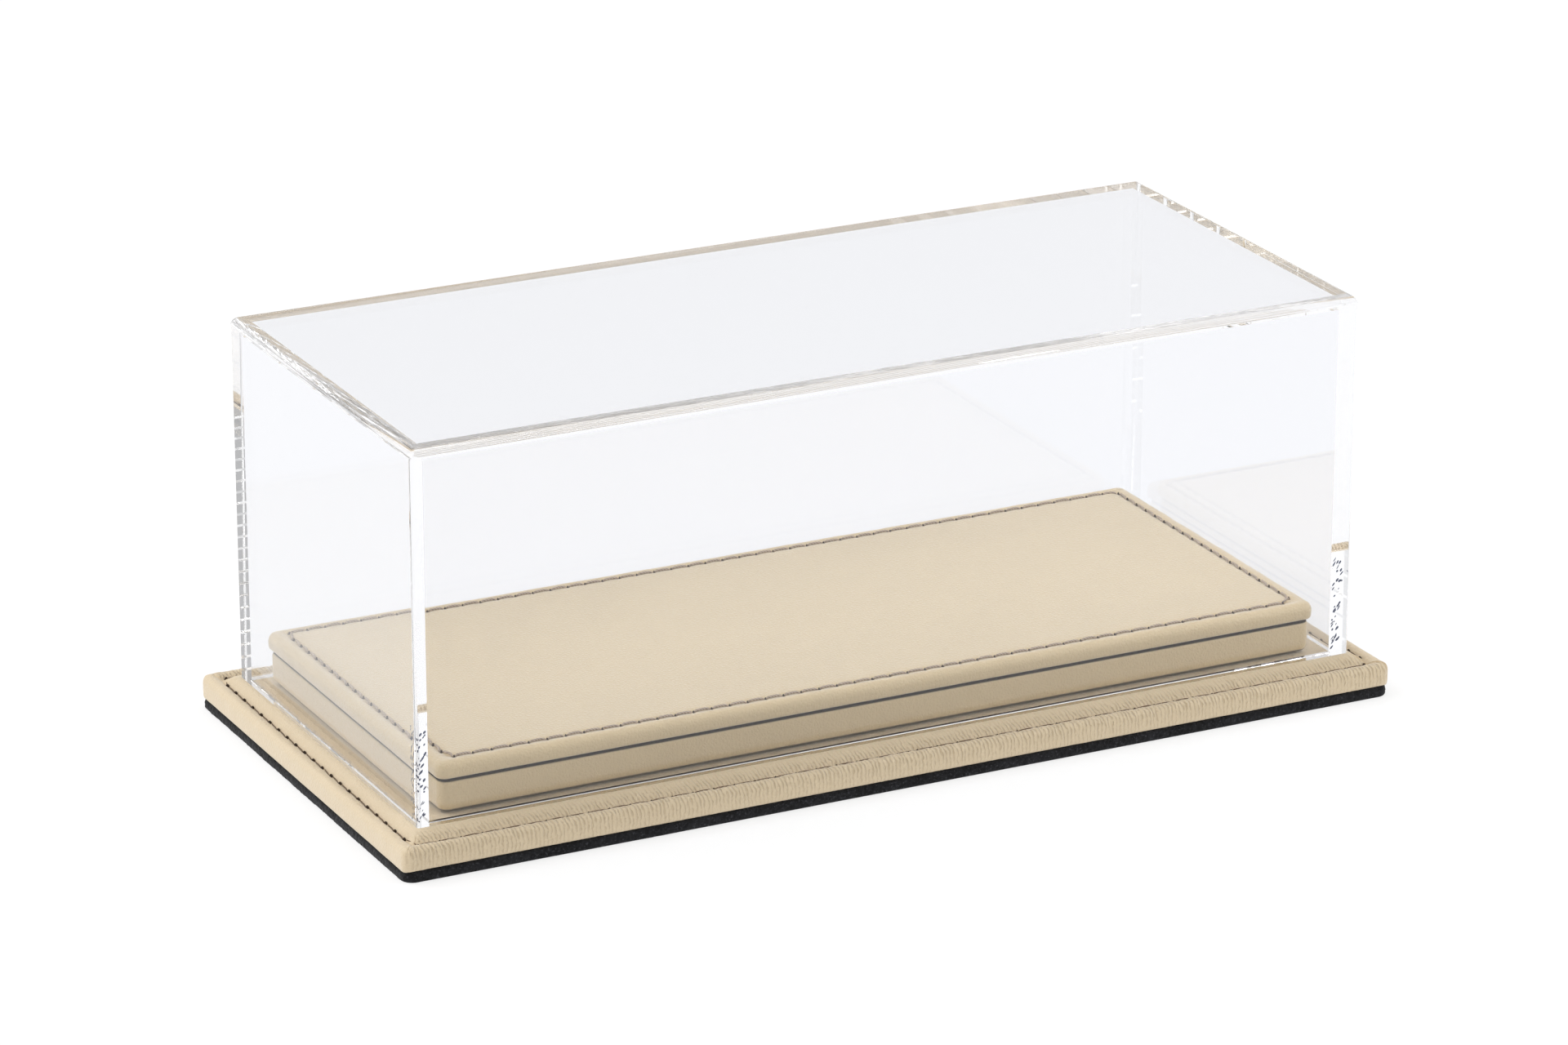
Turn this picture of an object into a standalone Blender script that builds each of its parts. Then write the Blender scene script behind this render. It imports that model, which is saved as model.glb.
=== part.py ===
"""Display case for a scale model: a clear lift-off cover over a leather-covered base and plinth.

Metres, +Z up. The origin is the centre of the underside, +X runs along the length and -Y is the front.
Everything stands on one stack: mat, base, plinth block, plinth plate. The cover rests on the base around
the plinth and lifts straight up.
"""
import math

import bmesh
import bpy

# ---------------------------------------------------------------- driving dimensions
COVER_LENGTH = 0.1500
COVER_WIDTH = 0.0645
COVER_HEIGHT = 0.0555
SHEET = 0.0024                # thickness of the clear sheet
COVER_TOP_ROUND = 0.0016      # rounding of the cover's upper outer edges
COVER_CORNER_ROUND = 0.0006   # rounding of the cover's upright outer corners

BASE_BORDER_END = 0.0044      # base past the cover, at each end
BASE_BORDER_SIDE = 0.0055     # base past the cover, front and back
MAT_THICKNESS = 0.0018
BASE_THICKNESS = 0.0035       # leather, board and leather

PLINTH_INSET_END = 0.0047     # block inside the cover's outer faces
PLINTH_INSET_SIDE = 0.0036
BLOCK_TOP = 0.0051            # above the base's top
PLATE_OVERHANG = 0.0004       # plate past the block, all round
PLATE_TOP = 0.0080            # above the base's top

LEATHER = 0.0006              # leather thickness
HEM = 0.0080                  # leather turned in underneath
TOUCH_GAP = 0.0003            # air between pieces that touch

BASE_CORNER = 0.0015          # corner radii seen from above
PLINTH_CORNER = 0.0016
BASE_EDGE_ROUND = 0.0013      # rolled edges of the leather
PLATE_EDGE_ROUND = 0.0009
BLOCK_EDGE_ROUND = 0.0006

BASE_SEAM_END = 0.0023        # seam in from the base's outline, at each end
BASE_SEAM_SIDE = 0.0026       # the same, front and back
PLATE_SEAM = 0.0023           # seam in from the plate's outline
THREAD_RADIUS = 0.0002
SEAM_CORNER = 0.0012

SCREW_SPACING_X = 0.0950
SCREW_SPACING_Y = 0.0300
SCREW_SHANK = 0.0010          # radii
SCREW_HEAD = 0.0020
SCREW_LENGTH = 0.0062
SCREW_HEAD_DEPTH = 0.0010
SCREW_TIP = 0.0012

# ---------------------------------------------------------------- worked out from them
BASE_LENGTH = COVER_LENGTH + 2 * BASE_BORDER_END
BASE_WIDTH = COVER_WIDTH + 2 * BASE_BORDER_SIDE
BASE_BOTTOM = MAT_THICKNESS + TOUCH_GAP
BASE_TOP = BASE_BOTTOM + BASE_THICKNESS

BLOCK_LENGTH = COVER_LENGTH - 2 * PLINTH_INSET_END
BLOCK_WIDTH = COVER_WIDTH - 2 * PLINTH_INSET_SIDE
BLOCK_BOTTOM = BASE_TOP + TOUCH_GAP
BLOCK_THICKNESS = BASE_TOP + BLOCK_TOP - BLOCK_BOTTOM

PLATE_LENGTH = BLOCK_LENGTH + 2 * PLATE_OVERHANG
PLATE_WIDTH = BLOCK_WIDTH + 2 * PLATE_OVERHANG
PLATE_BOTTOM = BASE_TOP + BLOCK_TOP + TOUCH_GAP
PLATE_THICKNESS = BASE_TOP + PLATE_TOP - PLATE_BOTTOM

COVER_BOTTOM = BASE_TOP + TOUCH_GAP
WALL_HEIGHT = COVER_HEIGHT - SHEET - TOUCH_GAP
END_WALL_WIDTH = COVER_WIDTH - 2 * (SHEET + TOUCH_GAP)

SKIN = LEATHER + TOUCH_GAP    # from a wrapped piece's outside to the board within it
OVERSHOOT = 0.0010            # how far a cutter runs past the face that it opens
SCREW_STEPS = 16


# ---------------------------------------------------------------- tools
def clear_scene():
    for thing in list(bpy.data.objects):
        bpy.data.objects.remove(thing, do_unlink=True)


def collection(name):
    group = bpy.data.collections.new(name)
    bpy.context.scene.collection.children.link(group)
    return group


def finish(name, colour, roughness, metallic=0.0, transmission=0.0):
    material = bpy.data.materials.new(name)
    material.use_nodes = True
    shader = material.node_tree.nodes["Principled BSDF"]
    shader.inputs["Base Color"].default_value = (*colour, 1.0)
    shader.inputs["Roughness"].default_value = roughness
    shader.inputs["Metallic"].default_value = metallic
    shader.inputs["Transmission Weight"].default_value = transmission
    return material


def upright(edge):
    a, b = (vertex.co for vertex in edge.verts)
    return abs(a.x - b.x) < 1e-6 and abs(a.y - b.y) < 1e-6


def lies_at(height):
    return lambda edge: all(abs(vertex.co.z - height) < 1e-6 for vertex in edge.verts)


def round_edges(bm, wanted, radius, segments):
    """Round the edges that the test wanted picks."""
    edges = [edge for edge in bm.edges if wanted(edge)]
    bmesh.ops.bevel(bm, geom=edges, offset=radius, segments=segments, profile=0.5, affect="EDGES")


def block(length, width, height, corner=0.0, top=0.0, bottom=0.0):
    """A block on z = 0, centred in X and Y, with its upright corners and its upper and lower edges rounded."""
    bm = bmesh.new()
    bmesh.ops.create_cube(bm, size=1.0)
    bmesh.ops.scale(bm, vec=(length, width, height), verts=bm.verts)
    bmesh.ops.translate(bm, vec=(0.0, 0.0, height / 2), verts=bm.verts)
    if corner:
        round_edges(bm, upright, corner, 5)
    if top:
        round_edges(bm, lies_at(height), top, 3)
    if bottom:
        round_edges(bm, lies_at(0.0), bottom, 2)
    return bm


def add(bm, name, group, material=None, location=(0.0, 0.0, 0.0), parent=None):
    """Turn a bmesh into a named object at its place."""
    mesh = bpy.data.meshes.new(name)
    bm.to_mesh(mesh)
    bm.free()
    mesh.shade_smooth()
    mesh.set_sharp_from_angle(angle=math.radians(35))
    thing = bpy.data.objects.new(name, mesh)
    if material:
        mesh.materials.append(material)
    thing.location = location
    thing.parent = parent
    group.objects.link(thing)
    return thing


def cutter(bm, name, location):
    thing = add(bm, name, cutters, location=location)
    thing.hide_render = True
    thing.display_type = "WIRE"
    return thing


def cut(thing, tool):
    modifier = thing.modifiers.new(tool.name, "BOOLEAN")
    modifier.operation = "DIFFERENCE"
    modifier.solver = "EXACT"
    modifier.object = tool


def seam_path(length, width, corner):
    """Points round a rectangle whose corners are short arcs."""
    points = []
    for turn, (side_x, side_y) in enumerate(((1, 1), (-1, 1), (-1, -1), (1, -1))):
        centre_x = side_x * (length / 2 - corner)
        centre_y = side_y * (width / 2 - corner)
        for step in range(4):
            angle = math.radians(90 * turn + 30 * step)
            points.append((centre_x + corner * math.cos(angle), centre_y + corner * math.sin(angle)))
    return points


def seam_tube(length, width, radius):
    """A closed tube that runs round a seam, as a bmesh centred on z = 0."""
    curve = bpy.data.curves.new("seam", "CURVE")
    curve.dimensions = "3D"
    curve.bevel_depth = radius
    curve.bevel_resolution = 2
    path = seam_path(length, width, SEAM_CORNER)
    spline = curve.splines.new("POLY")
    spline.points.add(len(path) - 1)
    for point, (x, y) in zip(spline.points, path):
        point.co = (x, y, 0.0, 1.0)
    spline.use_cyclic_u = True
    guide = bpy.data.objects.new("seam", curve)
    cutters.objects.link(guide)
    bpy.context.view_layer.update()
    mesh = bpy.data.meshes.new_from_object(guide.evaluated_get(bpy.context.evaluated_depsgraph_get()))
    bpy.data.objects.remove(guide, do_unlink=True)
    bm = bmesh.new()
    bm.from_mesh(mesh)
    bmesh.ops.remove_doubles(bm, verts=bm.verts, dist=0.00001)
    return bm


def wrapped_board(name, length, width, thickness, bottom, corner, edge_round, board):
    """A board in a leather skin that is turned in underneath, so the middle of the board shows from below."""
    inner_length = length - 2 * LEATHER
    inner_width = width - 2 * LEATHER
    skin = add(block(length, width, thickness, corner, edge_round, BLOCK_EDGE_ROUND),
               name + "_leather", parts, leather, (0.0, 0.0, bottom))
    cavity = block(inner_length, inner_width, thickness - 2 * LEATHER, corner - LEATHER)
    cut(skin, cutter(cavity, name + "_cavity", (0.0, 0.0, bottom + LEATHER)))
    window = block(inner_length - 2 * HEM, inner_width - 2 * HEM, LEATHER + 2 * OVERSHOOT)
    cut(skin, cutter(window, name + "_window", (0.0, 0.0, bottom - OVERSHOOT)))
    core = add(block(length - 2 * SKIN, width - 2 * SKIN, thickness - 2 * SKIN, corner - SKIN),
               board, parts, wood, (0.0, 0.0, bottom + SKIN))
    return skin, core


def sewn_seam(skin, name, length, width, top):
    """A channel round the skin's top, and the thread that runs in it."""
    channel = seam_tube(length, width, THREAD_RADIUS + TOUCH_GAP)
    cut(skin, cutter(channel, name + "_channel", (0.0, 0.0, top)))
    add(seam_tube(length, width, THREAD_RADIUS), name, parts, thread, (0.0, 0.0, top))


# ---------------------------------------------------------------- base and plinth
def make_mat():
    """The thin dark mat that the base stands on."""
    mat = block(BASE_LENGTH, BASE_WIDTH, MAT_THICKNESS, BASE_CORNER, MAT_THICKNESS / 6)
    add(mat, "base_mat", parts, mat_black)


def make_base():
    skin, board = wrapped_board("base", BASE_LENGTH, BASE_WIDTH, BASE_THICKNESS, BASE_BOTTOM,
                                BASE_CORNER, BASE_EDGE_ROUND, "base_board")
    sewn_seam(skin, "base_stitching", BASE_LENGTH - 2 * BASE_SEAM_END, BASE_WIDTH - 2 * BASE_SEAM_SIDE,
              BASE_TOP)
    return skin, board


def make_plinth():
    block_skin, block_board = wrapped_board("plinth_block", BLOCK_LENGTH, BLOCK_WIDTH, BLOCK_THICKNESS,
                                            BLOCK_BOTTOM, PLINTH_CORNER, BLOCK_EDGE_ROUND,
                                            "plinth_block_core")
    plate_skin, _ = wrapped_board("plinth_plate", PLATE_LENGTH, PLATE_WIDTH, PLATE_THICKNESS,
                                  PLATE_BOTTOM, PLINTH_CORNER, PLATE_EDGE_ROUND, "plinth_plate_board")
    sewn_seam(plate_skin, "plinth_stitching", PLATE_LENGTH - 2 * PLATE_SEAM, PLATE_WIDTH - 2 * PLATE_SEAM,
              BASE_TOP + PLATE_TOP)
    return block_skin, block_board


def turned_screw(name, clearance, place, group):
    """A countersunk screw, head down, or with a clearance the hole that it passes through."""
    shank = SCREW_SHANK + clearance
    head = SCREW_HEAD + clearance
    outline = [(0.0, SCREW_LENGTH + clearance),
               (shank, SCREW_LENGTH - SCREW_TIP + clearance),
               (shank, SCREW_HEAD_DEPTH + clearance),
               (head, clearance),
               (head - clearance, -clearance),
               (0.0, -clearance)]
    if not clearance:
        del outline[4]
    mesh = bpy.data.meshes.new(name)
    mesh.from_pydata([(x, 0.0, z) for x, z in outline],
                     [(index, index + 1) for index in range(len(outline) - 1)], [])
    thing = bpy.data.objects.new(name, mesh)
    thing.location = place
    turn = thing.modifiers.new("turn", "SCREW")
    turn.angle = math.tau
    turn.steps = SCREW_STEPS
    turn.render_steps = SCREW_STEPS
    turn.use_merge_vertices = True
    turn.merge_threshold = 0.00001
    group.objects.link(thing)
    return thing


def make_screws(pierced):
    """Four screws up through the base board into the plinth block's core, each in its own hole."""
    for index, (side_x, side_y) in enumerate(((-1, -1), (1, -1), (1, 1), (-1, 1)), start=1):
        place = (side_x * SCREW_SPACING_X / 2, side_y * SCREW_SPACING_Y / 2, BASE_BOTTOM + SKIN)
        screw = turned_screw(f"plinth_screw_{index}", 0.0, place, parts)
        screw.data.materials.append(steel)
        hole = turned_screw(f"screw_hole_{index}", TOUCH_GAP, place, cutters)
        hole.hide_render = True
        hole.display_type = "WIRE"
        for piece in pierced:
            cut(piece, hole)


# ---------------------------------------------------------------- cover
def make_cover():
    """Five clear sheets: a top, two long walls, and two end walls between them."""
    lift = bpy.data.objects.new("cover_lift", None)
    lift.location = (0.0, 0.0, COVER_BOTTOM)
    parts.objects.link(lift)

    top = block(COVER_LENGTH, COVER_WIDTH, SHEET, COVER_CORNER_ROUND)
    round_edges(top, lies_at(SHEET), COVER_TOP_ROUND, 4)
    add(top, "cover_top_panel", parts, clear, (0.0, 0.0, COVER_HEIGHT - SHEET), lift)

    for name, side in (("cover_front_panel", -1), ("cover_rear_panel", 1)):
        wall = block(COVER_LENGTH, SHEET, WALL_HEIGHT)
        outside = side * SHEET / 2
        round_edges(wall, lambda edge: upright(edge) and abs(edge.verts[0].co.y - outside) < 1e-6,
                    COVER_CORNER_ROUND, 3)
        add(wall, name, parts, clear, (0.0, side * (COVER_WIDTH - SHEET) / 2, 0.0), lift)

    for name, side in (("cover_left_panel", -1), ("cover_right_panel", 1)):
        add(block(SHEET, END_WALL_WIDTH, WALL_HEIGHT), name, parts, clear,
            (side * (COVER_LENGTH - SHEET) / 2, 0.0, 0.0), lift)


clear_scene()
parts = collection("display_case")
cutters = collection("cutters")

clear = finish("clear_acrylic", (0.96, 0.97, 0.98), 0.02, transmission=1.0)
leather = finish("beige_leather", (0.74, 0.66, 0.51), 0.55)
thread = finish("brown_thread", (0.16, 0.12, 0.09), 0.8)
mat_black = finish("black_mat", (0.02, 0.02, 0.022), 0.9)
wood = finish("board", (0.55, 0.42, 0.28), 0.8)
steel = finish("steel", (0.55, 0.55, 0.56), 0.35, metallic=1.0)

make_mat()
base_leather, base_board = make_base()
block_leather, block_core = make_plinth()
make_screws((base_leather, base_board, block_leather, block_core))
make_cover()
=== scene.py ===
"""Looks for a display case: clear cover, sewn beige leather over base and plinth, dark mat."""
import math
import random

import bmesh
import bpy
from mathutils import Matrix, Vector, kdtree, noise


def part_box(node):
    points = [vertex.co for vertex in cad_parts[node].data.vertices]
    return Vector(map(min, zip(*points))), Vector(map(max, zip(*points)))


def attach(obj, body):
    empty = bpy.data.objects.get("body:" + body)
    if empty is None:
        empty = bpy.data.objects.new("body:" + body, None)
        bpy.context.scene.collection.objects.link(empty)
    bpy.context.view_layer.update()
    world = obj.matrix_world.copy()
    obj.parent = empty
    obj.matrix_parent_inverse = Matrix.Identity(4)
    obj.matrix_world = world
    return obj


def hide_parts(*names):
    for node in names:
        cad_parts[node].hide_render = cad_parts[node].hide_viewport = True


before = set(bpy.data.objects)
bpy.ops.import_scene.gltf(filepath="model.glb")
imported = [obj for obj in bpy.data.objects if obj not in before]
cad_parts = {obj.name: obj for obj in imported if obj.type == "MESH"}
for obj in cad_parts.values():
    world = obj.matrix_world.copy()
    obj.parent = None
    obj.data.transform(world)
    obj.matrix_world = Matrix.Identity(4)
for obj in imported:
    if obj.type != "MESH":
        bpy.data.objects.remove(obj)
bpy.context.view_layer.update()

MM = 0.001

# ---------------------------------------------------------------- shader maths
class Value:
    """One output socket of a material, with ordinary operators."""

    def __init__(self, nodes, socket):
        self.nodes = nodes
        self.socket = socket

    def math(self, operation, *others, clamp=False):
        settings = {"operation": operation, "use_clamp": clamp}
        return self.nodes.add("ShaderNodeMath", settings, [self, *others]).out()

    def __add__(self, other):
        return self.math("ADD", other)

    __radd__ = __add__

    def __mul__(self, other):
        return self.math("MULTIPLY", other)

    __rmul__ = __mul__

    def __sub__(self, other):
        return self.math("SUBTRACT", other)

    def __rsub__(self, other):
        return self.nodes.add("ShaderNodeMath", {"operation": "SUBTRACT"}, [other, self]).out()

    def clamped(self):
        return self.math("ADD", 0.0, clamp=True)

    def smooth(self, low, high):
        """0 below low, 1 above high, and smooth between."""
        return self.nodes.add("ShaderNodeMapRange", {"interpolation_type": "SMOOTHSTEP"},
                              [self, low, high, 0.0, 1.0]).out()


class Node:
    """A node that was added, from which sockets are taken by name or place."""

    def __init__(self, nodes, node):
        self.nodes = nodes
        self.node = node

    def out(self, name=0):
        return Value(self.nodes, self.node.outputs[name])


# Places of the Mix node's sockets for colours.
MIX_FACTOR = 0
MIX_FIRST = 6
MIX_SECOND = 7
MIX_RESULT = 2


class Nodes:
    """A node tree that is written as expressions."""

    def __init__(self, tree):
        self.tree = tree
        tree.nodes.clear()

    def add(self, kind, settings=(), sockets=()):
        """Add a node: its settings first, then values or links for its sockets, by name or in order."""
        node = self.tree.nodes.new(kind)
        for name, value in dict(settings).items():
            setattr(node, name, value)
        pairs = sockets.items() if isinstance(sockets, dict) else enumerate(sockets)
        for key, value in pairs:
            if isinstance(value, Value):
                self.tree.links.new(value.socket, node.inputs[key])
            elif value is not None:
                node.inputs[key].default_value = value
        return Node(self, node)

    def place(self):
        return self.add("ShaderNodeTexCoord").out("Object")

    def attribute(self, name):
        return self.add("ShaderNodeAttribute", {"attribute_name": name}).out("Fac")

    def noise(self, place, size, detail=2.0, roughness=0.5):
        """Smooth noise from 0 to 1, with lumps of the given size in metres."""
        sockets = {"Vector": place, "Scale": 1.0 / size, "Detail": detail, "Roughness": roughness}
        return self.add("ShaderNodeTexNoise", {}, sockets).out(0)

    def cells(self, place, size, feature="DISTANCE_TO_EDGE"):
        """Distances within a pattern of cells of the given size in metres."""
        return self.add("ShaderNodeTexVoronoi", {"feature": feature},
                        {"Vector": place, "Scale": 1.0 / size}).out(0)

    def mix(self, factor, first, second):
        """A colour between two others."""
        made = self.add("ShaderNodeMix", {"data_type": "RGBA"})
        for index, value in ((MIX_FACTOR, factor), (MIX_FIRST, first), (MIX_SECOND, second)):
            if isinstance(value, Value):
                self.tree.links.new(value.socket, made.node.inputs[index])
            else:
                made.node.inputs[index].default_value = value if index == MIX_FACTOR else (*value, 1.0)
        return made.out(MIX_RESULT)

    def bump(self, height, distance):
        sockets = {"Height": height, "Distance": distance, "Strength": 1.0}
        return self.add("ShaderNodeBump", {}, sockets).out()


def material(name, paint):
    """A material whose look is painted by a function that returns the Principled shader's sockets.
    If it also returns a mask of painted shade, deep folds and holes are painted near-black and dull there,
    as their shade."""
    made = bpy.data.materials.new(name)
    made.use_nodes = True
    nodes = Nodes(made.node_tree)
    sockets = paint(nodes)
    painted_shade = sockets.pop("painted_shade", None)
    shader = nodes.add("ShaderNodeBsdfPrincipled", {}, sockets).out()
    if painted_shade is not None:
        # Painted shade: a near-black, dull colour laid over the leather where it lies deep in folds and
        # needle holes.
        shade_paint = nodes.add("ShaderNodeBsdfDiffuse", {}, {"Color": (*PAINTED_DEEP_SHADE, 1.0)}).out()
        shader = nodes.add("ShaderNodeMixShader", {}, [painted_shade, shader, shade_paint]).out()
    nodes.add("ShaderNodeOutputMaterial", {}, [shader])
    return made


# ---------------------------------------------------------------- finishes
# Leather colours, light and dark, the near-black painted shade of deep folds and holes, and the loops in
# needle holes, painted near-black as the holes' shade.
BASE_LEATHER = (0.735, 0.600, 0.405), (0.555, 0.415, 0.245)
PLINTH_LEATHER = (0.655, 0.508, 0.285), (0.530, 0.390, 0.198)
PAINTED_DEEP_SHADE = (0.042, 0.021, 0.007)
KNOT_SHADE = (0.050, 0.030, 0.016)


def leather(shades, sheen, pitch=None, ribs=False):
    """Smooth beige leather with fine pores, with painted shade in their creases. With a pitch, it has the
    needle holes of a seam, painted dark as their shade, and painted shade along its groove.
    With ribs, its stretched borders are finely creased, with painted shade in the furrows. Marked folds are
    painted near-black, as their shade."""
    light, dark = shades
    crease_pitch = 0.62 * MM
    crease_lean = 0.22
    hole_core = 0.16      # millimetres, as are the next two and the seam's attributes
    hole_edge = 0.40
    groove_shade_reach = 0.55

    def paint(nodes):
        place = nodes.place()
        cloud = nodes.noise(place, 18 * MM, 3.0)
        mottle = nodes.noise(place, 2.5 * MM, 4.0, 0.6)
        fine = nodes.noise(place, 0.22 * MM, 4.0, 0.65)
        pores = nodes.cells(place, 0.55 * MM)
        # The pores' creases are painted darker, as their shade.
        grain_crease_shade = 1.0 - pores.smooth(0.0, 0.14)
        tone_and_shade = 0.10 + (cloud - 0.5) * 0.12 + (mottle - 0.5) * 0.16 + grain_crease_shade * 0.07
        height = pores.smooth(0.0, 0.30) * 0.55 + fine * 0.45
        if ribs:
            axes = nodes.add("ShaderNodeSeparateXYZ", {}, [place])
            drift = nodes.noise(place, 1.3 * MM, 2.0) * (0.8 * MM)
            phase = (axes.out("X") + drift + axes.out("Y") * crease_lean) * (math.tau / crease_pitch)
            ridge = phase.math("SINE") * 0.5 + 0.5
            broken = nodes.noise(place, 0.8 * MM, 3.0, 0.6)
            furrow = (ridge + (broken - 0.5) * 1.7).smooth(0.45, 1.25) * nodes.attribute("ribs")
            # The furrows are painted darker, as their shade, as well as bumped in.
            tone_and_shade = tone_and_shade + furrow * 0.60
            height = height - furrow * 2.3
        colour = nodes.mix(tone_and_shade.clamped(), light, dark)
        # Painted shade in the folds, such as the slots under the plinth's two tiers.
        painted_shade = nodes.attribute("fold_shade")
        if pitch:
            off = nodes.attribute("seam_off")
            beat = nodes.attribute("seam_beat")
            # The squared distance from the nearest hole: along the seam, from its beat, and across it.
            apart = (1.0 - beat) * (2 * (pitch / math.tau) ** 2) + off * off
            # Painted shade in the needle holes.
            hole_shade = 1.0 - apart.smooth(hole_core ** 2, hole_edge ** 2)
            # Painted shade along the seam's groove, toward the dark leather colour.
            groove_shade = (1.0 - (off * off).smooth(0.0, groove_shade_reach ** 2)) * 0.30
            colour = nodes.mix(groove_shade, colour, dark)
            painted_shade = (painted_shade + hole_shade).clamped()
        return {"Base Color": colour,
                "Roughness": 0.44 + (fine - 0.5) * 0.16 + (mottle - 0.5) * 0.10,
                "Specular IOR Level": 0.60,
                "Sheen Weight": sheen,
                "Sheen Roughness": 0.45,
                "Normal": nodes.bump(height, 0.06 * MM),
                "painted_shade": painted_shade}
    return paint


def thread(light, dark, twist):
    """Plied sewing thread, with its strands running aslant, and its loops in needle holes painted near-black
    as the holes' shade.
    """
    def paint(nodes):
        place = nodes.place()
        axes = nodes.add("ShaderNodeSeparateXYZ", {}, [place])
        along = axes.out("X") + axes.out("Y") + axes.out("Z") * 0.6
        strand = (along * (math.tau / twist)).math("SINE") * 0.5 + 0.5
        fuzz = nodes.noise(place, 0.12 * MM, 3.0, 0.7)
        plied = nodes.mix((strand * 0.75 + fuzz * 0.35).clamped(), dark, light)
        return {"Base Color": nodes.mix(nodes.attribute("knot_shade"), plied, KNOT_SHADE),
                "Roughness": 0.72 + fuzz * 0.2,
                "Sheen Weight": 0.1,
                "Sheen Roughness": 0.4,
                "Normal": nodes.bump(strand * 0.8 + fuzz * 0.4, 0.05 * MM)}
    return paint


def foam(nodes):
    """Black cellular foam."""
    place = nodes.place()
    cell = nodes.cells(place, 0.7 * MM, "F1")
    rough = nodes.noise(place, 0.35 * MM, 4.0, 0.7)
    patch = nodes.noise(place, 6 * MM, 2.0)
    speck = nodes.noise(place, 0.28 * MM, 2.0).smooth(0.56, 0.72)
    light = (rough - 0.4) * 0.7 + (patch - 0.5) * 0.4 + cell.smooth(0.3, 0.8) * 0.15 + speck * 0.8
    return {"Base Color": nodes.mix(light.clamped(), (0.0020, 0.0020, 0.0026), (0.042, 0.043, 0.050)),
            "Roughness": 0.80 + (rough - 0.5) * 0.3,
            "Specular IOR Level": 0.12,
            "Sheen Weight": 0.09,
            "Sheen Roughness": 0.6,
            "Normal": nodes.bump(cell * 0.7 + rough * 0.6, 0.12 * MM)}


def fibreboard(nodes):
    """Brown board of pressed fibres, in thin layers."""
    place = nodes.place()
    layered = nodes.add("ShaderNodeMapping", {}, {"Vector": place, "Scale": (1.0, 1.0, 6.0)}).out()
    fibre = nodes.noise(layered, 1.6 * MM, 5.0, 0.7)
    speck = nodes.noise(place, 0.3 * MM, 2.0)
    return {"Base Color": nodes.mix((fibre * 0.8 + speck * 0.3).clamped(), (0.40, 0.27, 0.15),
                                    (0.62, 0.47, 0.30)),
            "Roughness": 0.82 + (speck - 0.5) * 0.2,
            "Normal": nodes.bump(fibre + speck * 0.5, 0.06 * MM)}


def plated_steel(nodes):
    """Dull plated screws."""
    place = nodes.place()
    worn = nodes.noise(place, 1.2 * MM, 4.0, 0.6)
    return {"Base Color": nodes.mix(worn, (0.46, 0.45, 0.43), (0.68, 0.68, 0.68)),
            "Metallic": 1.0,
            "Roughness": 0.28 + worn * 0.2,
            "Normal": nodes.bump(worn, 0.02 * MM)}


def clear_acrylic():
    """Clear sheet that bends what is seen through it and lets the lamps' light straight in."""
    made = bpy.data.materials.new("clear_acrylic_sheet")
    made.use_nodes = True
    nodes = Nodes(made.node_tree)
    glass = nodes.add("ShaderNodeBsdfPrincipled", {},
                      {"Base Color": (0.945, 0.950, 0.968, 1.0), "Roughness": 0.0, "IOR": 1.49,
                       "Transmission Weight": 1.0})
    through = nodes.add("ShaderNodeBsdfTransparent", {}, {"Color": (0.95, 0.955, 0.965, 1.0)})
    shadow = nodes.add("ShaderNodeLightPath").out("Is Shadow Ray")
    both = nodes.add("ShaderNodeMixShader", {}, [shadow, glass.out(), through.out()])
    nodes.add("ShaderNodeOutputMaterial", {}, [both.out()])
    return made


def joint_void(nodes):
    """The dark look of a place that the cement in a joint didn't reach."""
    place = nodes.place()
    streak = nodes.noise(place, 0.5 * MM, 3.0, 0.6)
    return {"Base Color": nodes.mix(streak, (0.035, 0.045, 0.085), (0.16, 0.19, 0.30)),
            "Roughness": 0.35 + streak * 0.3,
            "Normal": nodes.bump(streak, 0.03 * MM)}


BASE_PITCH = 3.25     # stitch lengths, in millimetres
PLATE_PITCH = 2.85
base_skin_finish = material("beige_leather_base", leather(BASE_LEATHER, 0.40, BASE_PITCH, ribs=True))
plate_skin_finish = material("beige_leather_plate", leather(PLINTH_LEATHER, 0.70, PLATE_PITCH))
block_skin_finish = material("beige_leather_block", leather(PLINTH_LEATHER, 0.60))
base_thread_finish = material("brown_thread", thread((0.27, 0.185, 0.12), (0.09, 0.055, 0.034), 0.34 * MM))
plate_thread_finish = material("taupe_thread", thread((0.60, 0.49, 0.39), (0.26, 0.19, 0.14), 0.42 * MM))
foam_finish = material("black_foam", foam)
board_finish = material("fibreboard", fibreboard)
steel_finish = material("plated_steel", plated_steel)
acrylic_finish = clear_acrylic()
void_finish = material("joint_void", joint_void)


# ---------------------------------------------------------------- shapes
def new_piece(name, bm, finish, body, replaced, crisp=60):
    """Finish a bmesh as a piece that rides on a body, and hide the CAD nodes that it replaces, if any are
    given.
    crisp is the angle past which an edge stays sharp. At 0 the faces keep their own smoothness."""
    bmesh.ops.recalc_face_normals(bm, faces=bm.faces)
    mesh = bpy.data.meshes.new(name)
    bm.to_mesh(mesh)
    bm.free()
    if crisp:
        mesh.shade_smooth()
        mesh.set_sharp_from_angle(angle=math.radians(crisp))
    mesh.materials.append(finish)
    piece = bpy.data.objects.new(name, mesh)
    bpy.context.scene.collection.objects.link(piece)
    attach(piece, body)
    if replaced:
        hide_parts(*replaced)
    return piece


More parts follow.
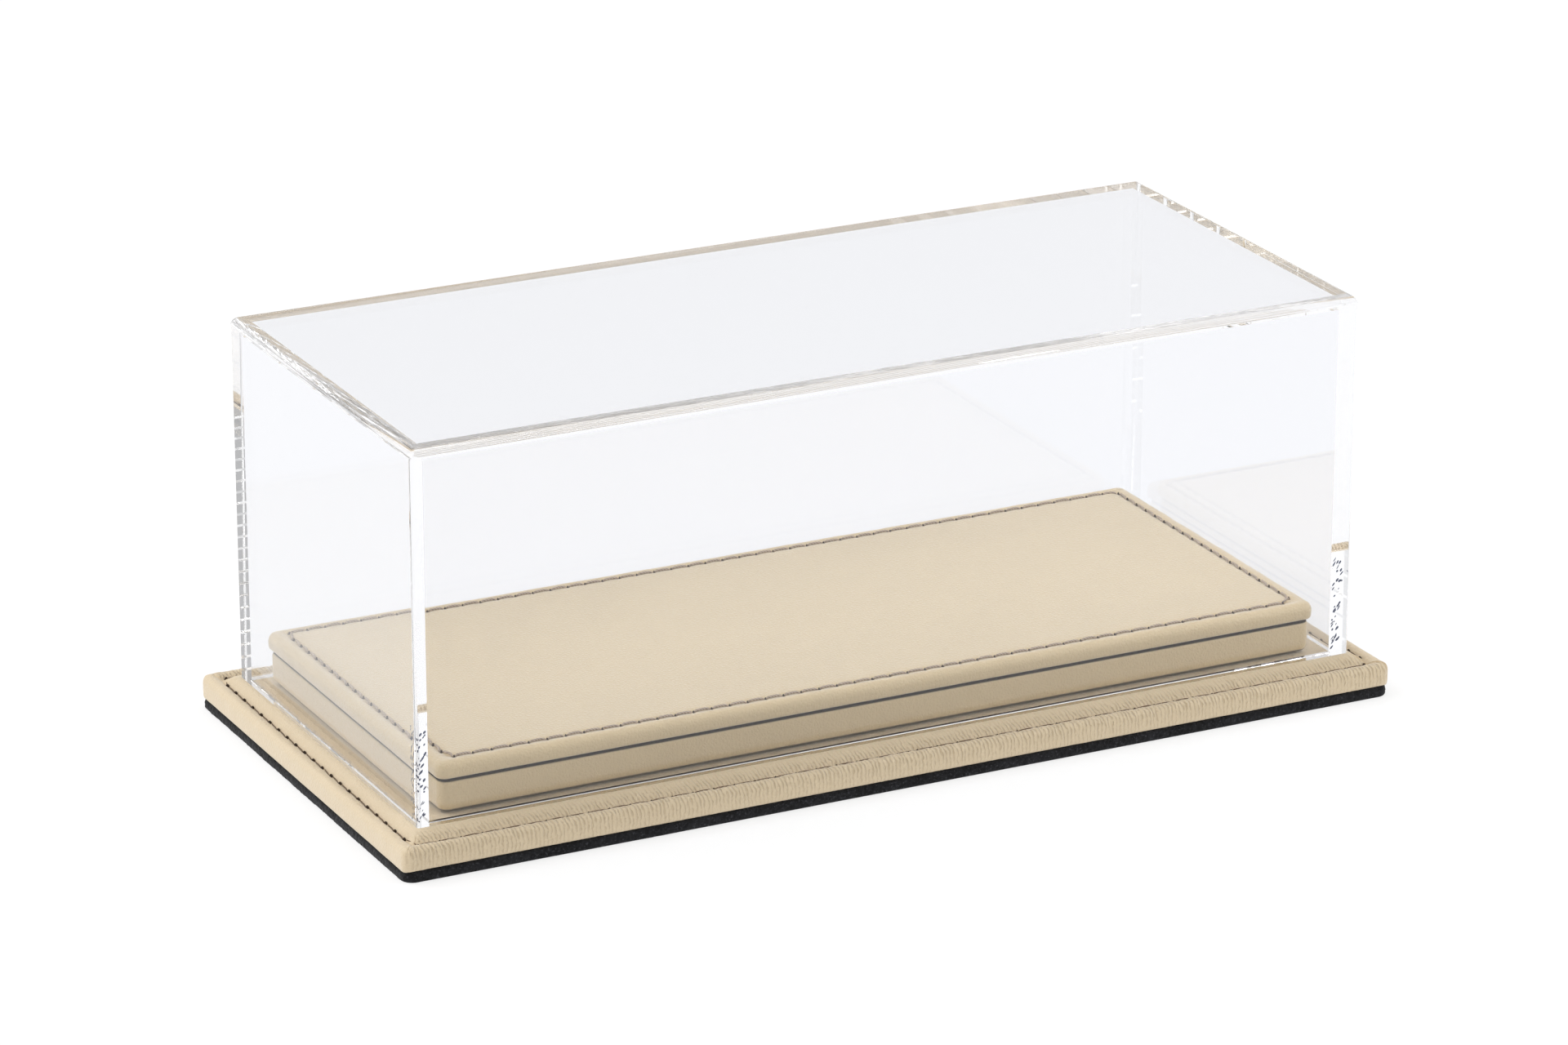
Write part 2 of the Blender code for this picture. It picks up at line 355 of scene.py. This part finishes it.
class Outline:
    """A rectangle with round corners, by its half length, half width and corner radius."""

    def __init__(self, half_x, half_y, corner):
        self.half_x = half_x
        self.half_y = half_y
        self.corner = corner

    def inset(self, by_x, by_y, least=0.9 * MM):
        return Outline(self.half_x - by_x, self.half_y - by_y,
                       max(self.corner - (by_x + by_y) / 2, least))

    def split(self, point):
        """How far along the straight sides a point lies, from -1 to 1, and its outward direction."""
        flat_x = self.half_x - self.corner
        flat_y = self.half_y - self.corner
        along = Vector((max(-1.0, min(1.0, point.x / flat_x)), max(-1.0, min(1.0, point.y / flat_y))))
        out = Vector((point.x - along.x * flat_x, point.y - along.y * flat_y)) / self.corner
        return along, out

    def at(self, along, out):
        """The point of this outline that lies so far along its sides, in that direction from its corner."""
        return Vector((along.x * (self.half_x - self.corner) + out.x * self.corner,
                       along.y * (self.half_y - self.corner) + out.y * self.corner))

    def walk(self, count):
        """Evenly spaced points round the outline."""
        arc = self.corner * math.pi / 2
        straights = (2 * (self.half_x - self.corner), 2 * (self.half_y - self.corner)) * 2
        total = sum(straights) + 4 * arc
        points = []
        for index in range(count):
            left = total * index / count
            place = Vector((self.corner - self.half_x, -self.half_y))
            heading = 0.0
            for straight in straights:
                ahead = Vector((math.cos(heading), math.sin(heading)))
                if left <= straight:
                    points.append(place + ahead * left)
                    break
                left -= straight
                centre = place + ahead * straight + Vector((-ahead.y, ahead.x)) * self.corner
                turn = min(left / self.corner, math.pi / 2)
                place = centre + Vector((math.sin(heading + turn), -math.cos(heading + turn))) * self.corner
                if left <= arc:
                    points.append(place)
                    break
                left -= arc
                heading += math.pi / 2
        return points


def rim(outline, step_x, step_y):
    """A closed loop of edges round an outline: arcs at its corners and even steps along its sides."""
    bm = bmesh.new()
    corners = [bm.verts.new((x * outline.half_x, y * outline.half_y, 0.0))
               for x, y in ((-1, -1), (1, -1), (1, 1), (-1, 1))]
    for index, corner in enumerate(corners):
        bm.edges.new((corner, corners[(index + 1) % 4]))
    bmesh.ops.bevel(bm, geom=corners, offset=outline.corner, offset_type="OFFSET", segments=12, profile=0.5,
                    affect="VERTICES", material=-1)
    for edge in [edge for edge in bm.edges if edge.calc_length() > 2 * outline.corner]:
        run = edge.verts[0].co - edge.verts[1].co
        step = step_x if abs(run.x) > abs(run.y) else step_y
        bmesh.ops.subdivide_edges(bm, edges=[edge], cuts=round(run.length / step) - 1)
    return bm


def curve_points(rows, per_span):
    """A smooth run through listed rows of numbers."""
    run = []
    for index in range(len(rows) - 1):
        before = rows[max(index - 1, 0)]
        after = rows[min(index + 2, len(rows) - 1)]
        for step in range(per_span):
            t = step / per_span
            run.append([0.5 * (2 * b + (c - a) * t + (2 * a - 5 * b + 4 * c - d) * t * t
                               + (3 * b - a - 3 * c + d) * t ** 3)
                        for a, b, c, d in zip(before, rows[index], rows[index + 1], after)])
    run.append(list(rows[-1]))
    return run


def swept(outline, stations, steps, shift=None):
    """A closed skin. The outline is carried through stations, and the first and last are filled.
    A station is an inset at the ends, an inset along the sides, a height, a weight and how much painted
    shade its fold gets.
    shift, times the weight, is how far a point moves along its station's normal."""
    bm = rim(outline, *steps)
    ribs = bm.verts.layers.float.new("ribs")
    fold_shade = bm.verts.layers.float.new("fold_shade")
    home = {vertex: outline.split(vertex.co) for vertex in bm.verts}

    def settle(vertices, index):
        in_x, in_y, height, weight, painted_fold_shade = stations[index]
        before = stations[max(index - 1, 0)]
        after = stations[min(index + 1, len(stations) - 1)]
        lean = Vector((before[2] - after[2], before[1] - after[1])).normalized()
        ring = outline.inset(in_x, in_y)
        for vertex in vertices:
            along, out = home[vertex]
            place = ring.at(along, out)
            moved = weight * shift(place, height, along, out) if shift and weight else 0.0
            vertex.co = (place.x + out.x * lean.x * moved, place.y + out.y * lean.x * moved,
                         height + lean.y * moved)
            vertex[ribs] = weight * abs(out.y) ** 3
            vertex[fold_shade] = painted_fold_shade

    edges = list(bm.edges)
    first = edges
    settle(list(bm.verts), 0)
    for index in range(1, len(stations)):
        made = bmesh.ops.extrude_edge_only(bm, edges=edges)["geom"]
        fresh = {item for item in made if isinstance(item, bmesh.types.BMVert)}
        edges = [item for item in made if isinstance(item, bmesh.types.BMEdge)
                 and item.verts[0] in fresh and item.verts[1] in fresh]
        for vertex in fresh:
            for edge in vertex.link_edges:
                other = edge.other_vert(vertex)
                if other not in fresh:
                    home[vertex] = home[other]
        settle(fresh, index)
    for loop in (first, edges):
        bmesh.ops.edgeloop_fill(bm, edges=loop)
    return bm


# ---------------------------------------------------------------- sizes taken from the frame
base_low, base_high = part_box("base_leather")
block_low, block_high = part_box("plinth_block_leather")
plate_low, plate_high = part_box("plinth_plate_leather")
mat_low, mat_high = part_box("base_mat")
board_low, board_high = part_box("base_board")
front_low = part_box("cover_front_panel")[0]
top_low, top_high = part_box("cover_top_panel")

# Millimetres, as in every row of stations below.
REST = 0.25           # how much further down a piece reaches than its CAD part, to rest on what is under it
SLOT = 0.05           # the same under the plinth's two tiers, which keep a thin shadow line
BASE_CORNER = 1.5
TIER_CORNER = 1.6
MAT_CORNER = 2.0
BOARD_CORNER = 1.2
LAP_END = 0.80        # how far the leather hangs down over the mat at the ends
LAP_SIDE = 0.38       # the same along the sides

base_outline = Outline(base_high.x, base_high.y, BASE_CORNER * MM)
plate_outline = Outline(plate_high.x, plate_high.y, TIER_CORNER * MM)
block_outline = Outline(block_high.x, block_high.y, TIER_CORNER * MM)
mat_outline = Outline(mat_high.x, mat_high.y, MAT_CORNER * MM)
board_outline = Outline(board_high.x, board_high.y, BOARD_CORNER * MM)


def stations_over(base, rows, per_span=1):
    """Rows in millimetres, with heights over a base, as stations in metres. A row may leave out its fold's
    painted shade.
    """
    smooth = curve_points([(*row, *[0.0] * (5 - len(row))) for row in rows], per_span)
    return [(in_x * MM, in_y * MM, base + height * MM, weight, min(max(fold_shade, 0.0), 1.0))
            for in_x, in_y, height, weight, fold_shade in smooth]


# ---------------------------------------------------------------- seams
def needle_holes(outline, inset_x, inset_y, pitch):
    """A seam's own outline and its evenly spaced needle holes."""
    line = outline.inset(inset_x * MM, inset_y * MM)
    length = 4 * (line.half_x + line.half_y) + (2 * math.pi - 8) * line.corner
    return line, line.walk(round(length / (pitch * MM)))


def mark_seam(bm, line, holes, above, depth, spread):
    """Write how far each upper point lies from the seam and its holes, and dimple the skin at the holes."""
    fineness = 24         # steps from each hole to the next
    border = 4 * MM       # the furthest inside the seam that a point is looked at
    far_off = 9.0         # millimetres
    sharpness = 4.0       # of a dimple, along the seam
    trail = line.walk(len(holes) * fineness)
    tree = kdtree.KDTree(len(trail))
    for index, place in enumerate(trail):
        tree.insert((place.x, place.y, 0.0), index)
    tree.balance()
    off = bm.verts.layers.float.new("seam_off")
    beat = bm.verts.layers.float.new("seam_beat")
    for vertex in bm.verts:
        vertex[off] = far_off
        inside = abs(vertex.co.x) < line.half_x - border and abs(vertex.co.y) < line.half_y - border
        if vertex.co.z < above or inside:
            continue
        _place, index, near = tree.find((vertex.co.x, vertex.co.y, 0.0))
        phase = index / fineness * math.tau
        vertex[off] = near / MM
        vertex[beat] = math.cos(phase)
        dip = math.exp(-(near / spread) ** 2) * math.exp(-(1.0 - math.cos(phase)) * sharpness)
        vertex.co.z -= depth * dip


def stitches(name, holes, height, radius, arch, dive, slant, finish, replaced, jitter, knots):
    """One arched stitch from each needle hole to the next, and a tight loop in each hole, painted near-black
    as the hole's shade.
    knots gives the loops' radius on the long borders and on the short ones."""
    reach = 0.49      # half of a stitch's length, in pitches
    bend = 0.8        # how far it snakes sideways, in radii
    slim = 0.4        # how much thinner it is at its ends
    tall = 1.3        # a loop's height against its width
    pattern = bmesh.new()
    bmesh.ops.create_cone(pattern, cap_ends=True, segments=6, radius1=radius, radius2=radius, depth=2.0)
    lengthwise = [edge for edge in pattern.edges
                  if abs(edge.verts[0].co.z - edge.verts[1].co.z) > 1.0]
    bmesh.ops.subdivide_edges(pattern, edges=lengthwise, cuts=5)
    one = bpy.data.meshes.new("stitch")
    pattern.to_mesh(one)
    pattern.free()
    bm = bmesh.new()
    for index, start in enumerate(holes):
        end = holes[(index + 1) % len(holes)]
        run = end - start
        known = len(bm.verts)
        bm.from_mesh(one)
        bm.verts.ensure_lookup_table()
        fresh = bm.verts[known:]
        wander = noise.noise(Vector((index * 0.73, radius / MM, 4.1)))
        turn = math.atan2(run.y, run.x) + slant + wander * jitter
        middle = (start + end) / 2
        for vertex in fresh:
            t = vertex.co.z
            thin = 1.0 - slim * t ** 4
            side, up = vertex.co.x * thin, vertex.co.y * thin
            side += bend * radius * math.sin(t * math.pi)
            along = t * run.length * reach
            rise = height + up + arch * (1.0 + 0.5 * wander) * (1.0 - t * t) - dive * t ** 8
            vertex.co = (middle.x + along * math.cos(turn) - side * math.sin(turn),
                         middle.y + along * math.sin(turn) + side * math.cos(turn), rise)
    bpy.data.meshes.remove(one)
    # Painted shade: the loops are dark things that stand for the holes' shade.
    knot_shade = bm.verts.layers.float.new("knot_shade")
    for index, start in enumerate(holes):
        run = (holes[(index + 1) % len(holes)] - start).normalized()
        size = knots[0] + (knots[1] - knots[0]) * abs(run.y)
        place = Matrix.Translation((start.x, start.y, height))
        shape = place @ Matrix.Diagonal((size, size, size * tall, 1.0))
        loop = bmesh.ops.create_uvsphere(bm, u_segments=8, v_segments=6, radius=1.0, matrix=shape)
        for vertex in loop["verts"]:
            vertex[knot_shade] = 1.0
    return new_piece(name, bm, finish, "base", replaced)


# ---------------------------------------------------------------- leather skins
def lap(bm, level, over=None):
    """Lower the rim of the level where the leather meets the mat, most at the ends.
    The move fades to nothing at the height over, or without one at the floor."""
    for vertex in bm.verts:
        _along, out = base_outline.split(vertex.co)
        drop = MM * (LAP_END * min(out.x ** 2, 1.0) + LAP_SIDE * min(out.y ** 2, 1.0))
        if over is None:
            share = vertex.co.z / level
        else:
            share = (over - vertex.co.z) / (over - level)
        vertex.co.z -= drop * max(0.0, min(share, 1.0))


def ribbed(place, height, along, out):
    """Fine ribs across the long borders, a few pleats at the corners, and slight puckers elsewhere."""
    long_side = abs(out.y) ** 3
    wander = 0.5 * noise.noise(Vector((place.x / (2.2 * MM), place.y / (1.4 * MM), height / (1.4 * MM))))
    rib = noise.noise(Vector((place.x / (0.48 * MM) + wander, place.y / (3.2 * MM), height / (4.0 * MM))))
    broad = noise.noise(Vector((place.x / (3.5 * MM), place.y / (3.5 * MM), 7.0)))
    pucker = noise.noise(Vector((place.x / (1.1 * MM), place.y / (1.1 * MM), height / (1.1 * MM) + 3.0)))
    turn = math.atan2(out.y, out.x)
    pleat = 0.0
    # Each pleat's direction from its corner, in radians, and its depth in millimetres.
    for where, deep in ((-0.55, 0.26), (-1.0, 0.10), (0.70, 0.14), (2.30, 0.14), (-2.25, 0.10)):
        pleat -= deep * math.exp(-((turn - where) / 0.10) ** 2)
        pleat += 0.5 * deep * math.exp(-((turn - where - 0.22) / 0.14) ** 2)
    return MM * (0.11 * rib * long_side + 0.05 * broad + 0.03 * pucker + pleat)


def puffed(place, height, along, out):
    """The slight waviness of leather drawn over a padded edge."""
    broad = noise.noise(Vector((place.x / (5.0 * MM), place.y / (5.0 * MM), height / (3.0 * MM))))
    pucker = noise.noise(Vector((place.x / (1.3 * MM), place.y / (1.3 * MM), height / (1.3 * MM))))
    return MM * (0.05 * broad + 0.018 * pucker)


# Each skin's rows run from the middle of its top round to its underside, and then back up inside it. A fifth
# number is painted shade for a fold, as in the slots under the plinth's tiers.
base_rows = [
    (9.0, 9.0, 3.50, 0.0), (4.9, 6.0, 3.50, 0.0), (4.0, 4.9, 3.46, 0.2), (3.3, 3.9, 3.10, 0.8),
    (2.7, 3.1, 2.58, 1.0), (2.3, 2.6, 2.30, 0.4), (1.95, 2.15, 2.58, 1.0), (1.5, 1.6, 2.84, 1.0),
    (0.95, 1.0, 2.92, 1.0), (0.42, 0.45, 2.62, 1.0), (0.14, 0.14, 2.05, 0.9), (0.08, 0.08, 1.30, 0.7),
    (0.08, 0.08, 0.55, 0.5), (0.16, 0.16, 0.05, 0.3), (0.5, 0.5, -REST, 0.0), (1.2, 1.2, -REST, 0.0),
    (2.0, 2.0, -REST, 0.0), (3.0, 3.0, -REST, 0.0),
]
base_inside = [
    (8.0, 8.0, -REST, 0.0), (8.0, 8.0, 0.35, 0.0), (3.0, 3.0, 0.35, 0.0), (0.8, 0.8, 0.5, 0.0),
    (0.75, 0.75, 1.6, 0.0), (2.6, 2.9, 1.68, 0.0), (5.1, 6.2, 2.9, 0.0), (9.0, 9.0, 2.9, 0.0),
]
plate_rows = [
    (6.0, 6.0, 2.60, 0.0), (3.8, 3.6, 2.58, 0.2), (3.0, 2.8, 2.50, 0.4), (2.5, 2.3, 2.32, 0.2),
    (2.0, 1.85, 2.46, 0.5), (1.35, 1.3, 2.54, 1.0), (0.75, 0.75, 2.42, 1.0), (0.3, 0.3, 2.06, 1.0),
    (0.06, 0.06, 1.45, 1.0), (0.05, 0.05, 0.8, 1.0), (0.12, 0.12, 0.28, 0.8), (0.26, 0.26, 0.08, 0.4, 0.2),
    (0.42, 0.42, 0.02, 0.0, 1.0), (0.9, 0.9, -0.02, 0.0, 1.0), (2.0, 2.0, -SLOT, 0.0, 1.0),
]
plate_inside = [
    (8.0, 8.0, -SLOT, 0.0), (8.0, 8.0, 0.4, 0.0), (1.4, 1.4, 0.45, 0.0), (0.8, 0.8, 0.8, 0.0),
    (0.85, 0.85, 1.5, 0.0), (2.5, 2.3, 1.68, 0.0), (6.0, 6.0, 1.9, 0.0),
]
block_rows = [
    (6.0, 6.0, 4.80, 0.0, 1.0), (1.4, 1.4, 4.70, 0.0, 1.0), (0.6, 0.6, 4.66, 0.1, 1.0),
    (0.30, 0.30, 4.58, 0.3, 1.0), (0.16, 0.16, 4.46, 0.6, 0.1), (0.06, 0.06, 4.20, 1.0),
    (0.05, 0.05, 3.2, 1.0), (0.05, 0.05, 2.0, 1.0), (0.07, 0.07, 1.1, 1.0),
    (0.16, 0.16, 0.60, 0.7), (0.30, 0.30, 0.36, 0.2, 0.3),
    (0.5, 0.5, 0.20, 0.0, 1.0), (0.9, 0.9, 0.10, 0.0, 1.0), (2.2, 2.2, -SLOT, 0.0, 1.0),
]
block_inside = [
    (8.0, 8.0, -SLOT, 0.0), (8.0, 8.0, 0.4, 0.0), (0.8, 0.8, 0.5, 0.0), (0.75, 0.75, 4.0, 0.0),
    (1.6, 1.6, 4.2, 0.0), (6.0, 6.0, 4.2, 0.0),
]

base_line, base_holes = needle_holes(base_outline, 2.3, 2.6, BASE_PITCH)
plate_line, plate_holes = needle_holes(plate_outline, 2.5, 2.3, PLATE_PITCH)

stations = stations_over(base_low.z, base_rows, 2) + stations_over(base_low.z, base_inside)
skin = swept(base_outline, stations, (0.24 * MM, 0.32 * MM), ribbed)
mark_seam(skin, base_line, base_holes, above=base_low.z + 2.0 * MM, depth=0.16 * MM, spread=0.5 * MM)
lap(skin, base_low.z - REST * MM, base_low.z + 1.8 * MM)
base_skin = new_piece("base_leather_skin", skin, base_skin_finish, "base", ["base_leather"], 50)

stations = stations_over(plate_low.z, plate_rows, 3) + stations_over(plate_low.z, plate_inside)
skin = swept(plate_outline, stations, (0.30 * MM, 0.30 * MM), puffed)
mark_seam(skin, plate_line, plate_holes, above=plate_low.z + 1.9 * MM, depth=0.14 * MM, spread=0.5 * MM)
plate_skin = new_piece("plinth_plate_skin", skin, plate_skin_finish, "base",
                       ["plinth_plate_leather"], 50)

stations = stations_over(block_low.z, block_rows, 3) + stations_over(block_low.z, block_inside)
skin = swept(block_outline, stations, (0.45 * MM, 0.45 * MM), puffed)
block_skin = new_piece("plinth_block_skin", skin, block_skin_finish, "base",
                       ["plinth_block_leather"], 50)

stitches("base_seam_stitches", base_holes, height=base_low.z + 2.36 * MM, radius=0.088 * MM,
         arch=0.10 * MM, dive=0.14 * MM, slant=-0.15, finish=base_thread_finish,
         replaced=["base_stitching"], jitter=0.12, knots=(0.15 * MM, 0.26 * MM))
stitches("plinth_seam_stitches", plate_holes, height=plate_low.z + 2.46 * MM, radius=0.19 * MM,
         arch=0.14 * MM, dive=0.34 * MM, slant=-0.30, finish=plate_thread_finish,
         replaced=["plinth_stitching"], jitter=0.10, knots=(0.13 * MM, 0.17 * MM))


# ---------------------------------------------------------------- mat and board
def cut_edge(place, height, along, out):
    """The uneven edge of foam cut with a knife."""
    crumb = noise.noise(Vector((place.x / (0.5 * MM), place.y / (0.5 * MM), height / (0.5 * MM))))
    sway = noise.noise(Vector((place.x / (9 * MM), place.y / (9 * MM), height / (6 * MM))))
    return MM * min(0.09 * crumb + 0.10 * sway, 0.09)


mat_height = (mat_high.z - mat_low.z) / MM
mat_rows = [
    (6.0, 6.0, mat_height, 0.0), (2.0, 2.0, mat_height, 0.0), (0.9, 0.9, mat_height, 0.0),
    (0.5, 0.5, mat_height - 0.03, 0.4), (0.22, 0.22, mat_height - 0.15, 1.0),
    (0.12, 0.12, mat_height - 0.5, 1.0), (0.10, 0.10, 0.7, 1.0),
    (0.12, 0.12, 0.25, 1.0), (0.3, 0.3, 0.04, 0.4), (0.9, 0.9, 0.0, 0.0), (6.0, 6.0, 0.0, 0.0),
]
foam_body = swept(mat_outline, stations_over(mat_low.z, mat_rows, 2), (0.28 * MM, 0.28 * MM), cut_edge)
lap(foam_body, mat_high.z)
new_piece("base_mat_foam", foam_body, foam_finish, "base", ["base_mat"], 60)

board_rows = [
    (4.2, 5.4, 1.80, 0.0), (1.9, 2.3, 0.70, 0.0), (0.5, 0.5, 0.65, 0.0), (0.1, 0.1, 0.5, 0.0),
    (0.0, 0.0, 0.3, 0.0), (0.1, 0.1, 0.0, 0.0), (4.0, 4.0, 0.0, 0.0),
]
board = swept(board_outline, stations_over(board_low.z, board_rows), (4 * MM, 4 * MM))
new_piece("base_board_eased", board, board_finish, "base", ["base_board"], 20)

kept_nodes = [("plinth_block_core", board_finish), ("plinth_plate_board", board_finish)]
kept_nodes += [(f"plinth_screw_{number}", steel_finish) for number in range(1, 5)]
for node, finish in kept_nodes:
    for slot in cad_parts[node].material_slots:
        slot.material = finish


# ---------------------------------------------------------------- cover
SHEET = 2.4           # millimetres, as are the next four
TOP_ROUND = 1.5
UPRIGHT_ROUND = 0.35
LIP_BEVEL = 0.20
UPRIGHT_LEAST = 30    # a shorter edge isn't one of the uprights
NEAR = 1e-6           # metres, within which two places are the same


def cover_shell():
    """One open box of clear sheet, its outer edges polished round."""
    sheet = SHEET * MM
    low = Vector((top_low.x, top_low.y, front_low.z - REST * MM))
    size = top_high - low
    bm = bmesh.new()
    bmesh.ops.create_cube(bm, size=1.0)
    bmesh.ops.scale(bm, vec=size, verts=bm.verts)
    bmesh.ops.translate(bm, vec=low + size / 2, verts=bm.verts)
    underside = min(bm.faces, key=lambda face: face.calc_center_median().z)
    bmesh.ops.inset_region(bm, faces=[underside], thickness=sheet, use_even_offset=True)
    inner = [item for item in bmesh.ops.extrude_face_region(bm, geom=[underside])["geom"]
             if isinstance(item, bmesh.types.BMVert)]
    bmesh.ops.delete(bm, geom=[underside], context="FACES_ONLY")
    for vertex in inner:
        vertex.co.z = top_high.z - sheet
    bm.normal_update()

    def edges(test):
        return [edge for edge in bm.edges if test(*(vertex.co for vertex in edge.verts))]

    def at_corner(point):
        return abs(abs(point.x) - top_high.x) < NEAR and abs(abs(point.y) - top_high.y) < NEAR

    def inner_lip(a, b):
        return max(a.z, b.z) < low.z + NEAR and not at_corner(a) and not at_corner(b)

    def outer_top(a, b):
        return min(a.z, b.z) > top_high.z - NEAR

    def upright(a, b):
        return abs(a.z - b.z) > UPRIGHT_LEAST * MM and at_corner(a) and at_corner(b)

    def ease(chosen, radius, steps):
        """Round the chosen edges, and shade only the rounding smooth."""
        eased = bmesh.ops.bevel(bm, geom=chosen, offset=radius, segments=steps, profile=0.5, affect="EDGES",
                                material=-1)
        for face in eased["faces"]:
            face.smooth = True

    bmesh.ops.bevel(bm, geom=edges(inner_lip), offset=LIP_BEVEL * MM, segments=1, profile=0.5,
                    affect="EDGES", material=-1)
    ease(edges(outer_top), TOP_ROUND * MM, 8)
    ease(edges(upright), UPRIGHT_ROUND * MM, 3)
    return bm


new_piece("cover_shell", cover_shell(), acrylic_finish, "cover",
          ["cover_top_panel", "cover_front_panel", "cover_rear_panel", "cover_left_panel",
           "cover_right_panel"], 0)


def joint_flecks():
    """Thin streaks in the lower part of the cemented joints at the cover's two front corners."""
    clusters = 5
    streaks = 9               # in each cluster
    lowest = 1.6              # millimetres, as are the next three
    spacing = 2.9
    from_end = 1.25
    from_front = 2.2
    bm = bmesh.new()
    draw = random.Random(7)
    for side in (-1, 1):
        for cluster in range(clusters):
            centre = Vector((side * (top_high.x - from_end * MM), front_low.y + from_front * MM,
                             front_low.z + (lowest + spacing * cluster) * MM))
            for _streak in range(streaks):
                across = draw.uniform(-0.85, 0.70)
                deep = draw.uniform(-0.1, 0.1)
                up = draw.uniform(-1.25, 1.25)
                half_width = draw.uniform(0.07, 0.20)
                half_length = draw.uniform(0.15, 0.50)
                turn = Matrix.Rotation(draw.uniform(0.45, 0.75), 4, "Y")
                size = Vector((half_width, 0.03, half_length)) * MM
                place = Matrix.Translation(centre + Vector((across, deep, up)) * MM)
                shape = place @ turn @ Matrix.Diagonal((*size, 1.0))
                bmesh.ops.create_icosphere(bm, subdivisions=1, radius=1.0, matrix=shape)
    return bm


new_piece("cover_joint_flecks", joint_flecks(), void_finish, "cover", [])


# ---------------------------------------------------------------- studio
def point_at(thing, target):
    thing.rotation_euler = (Vector(target) - thing.location).to_track_quat("-Z", "Y").to_euler()


def lamp(name, place, size, watts):
    """A rectangular lamp that points at the plinth."""
    data = bpy.data.lights.new(name, "AREA")
    data.shape = "RECTANGLE"
    data.size, data.size_y = size
    data.energy = watts
    thing = bpy.data.objects.new(name, data)
    bpy.context.scene.collection.objects.link(thing)
    thing.location = place
    point_at(thing, (0.0, 0.0, 0.02))
    return thing


FLOOR_HALF = 8.0      # metres
FLOOR_GLOW = 0.71
bm = bmesh.new()
bmesh.ops.create_grid(bm, x_segments=1, y_segments=1, size=FLOOR_HALF)
floor_mesh = bpy.data.meshes.new("floor")
bm.to_mesh(floor_mesh)
bm.free()
floor = bpy.data.objects.new("floor", floor_mesh)
bpy.context.scene.collection.objects.link(floor)
floor_mesh.materials.append(material("white_floor", lambda nodes: {
    "Base Color": (0.30, 0.30, 0.30, 1.0), "Roughness": 0.9, "Specular IOR Level": 0.05,
    "Emission Color": (1.0, 1.0, 1.0, 1.0), "Emission Strength": FLOOR_GLOW}))

lamp("key", place=(-1.2, 0.6, 1.6), size=(1.4, 1.4), watts=15.0)
lamp("near", place=(0.31, -0.23, 0.22), size=(0.12, 0.12), watts=0.38)

world = bpy.data.worlds.new("studio")
bpy.context.scene.world = world
world.use_nodes = True
sky = Nodes(world.node_tree)
direction = sky.add("ShaderNodeTexCoord").out("Generated")


def facing(x, y, z):
    """How much a direction of the sky faces that way, from 0 to 1."""
    aim = Vector((x, y, z)).normalized()
    dot = sky.add("ShaderNodeVectorMath", {"operation": "DOT_PRODUCT"}, [direction, tuple(aim)]).out("Value")
    return dot.smooth(-0.2, 1.0)


strength = (0.13 + facing(0.3, 1.0, 0.1) * 0.46 + facing(-1.0, 0.2, 0.2) * 0.52
            + facing(0.0, 0.0, 1.0) * 0.36 + facing(1.0, -0.1, 0.3) * 0.20)
sky.add("ShaderNodeOutputWorld", {}, [sky.add("ShaderNodeBackground", {}, {
    "Color": (1.0, 1.0, 1.0, 1.0), "Strength": strength}).out()])

LENS = 149.3                                 # millimetres, on a 36 mm sensor
CAMERA_PLACE = (-0.4023, -0.7971, 0.3538)    # metres
LOOKS_DOWN = 20.05                           # degrees, as is the next
HEADING = -26.66
camera_data = bpy.data.cameras.new("camera")
camera_data.lens = LENS
camera_data.sensor_width = 36.0
camera_data.clip_start = 0.05
camera_data.clip_end = 30.0
camera = bpy.data.objects.new("camera", camera_data)
bpy.context.scene.collection.objects.link(camera)
camera.location = CAMERA_PLACE
camera.rotation_euler = (math.radians(90.0 - LOOKS_DOWN), 0.0, math.radians(HEADING))
bpy.context.scene.camera = camera
bpy.context.scene.view_settings.view_transform = "Standard"
# Light runs many times between the faces of a clear sheet before it leaves at an edge.
LIGHT_BOUNCES = 128
bpy.context.scene.cycles.max_bounces = LIGHT_BOUNCES
bpy.context.scene.cycles.glossy_bounces = LIGHT_BOUNCES
bpy.context.scene.cycles.transmission_bounces = LIGHT_BOUNCES
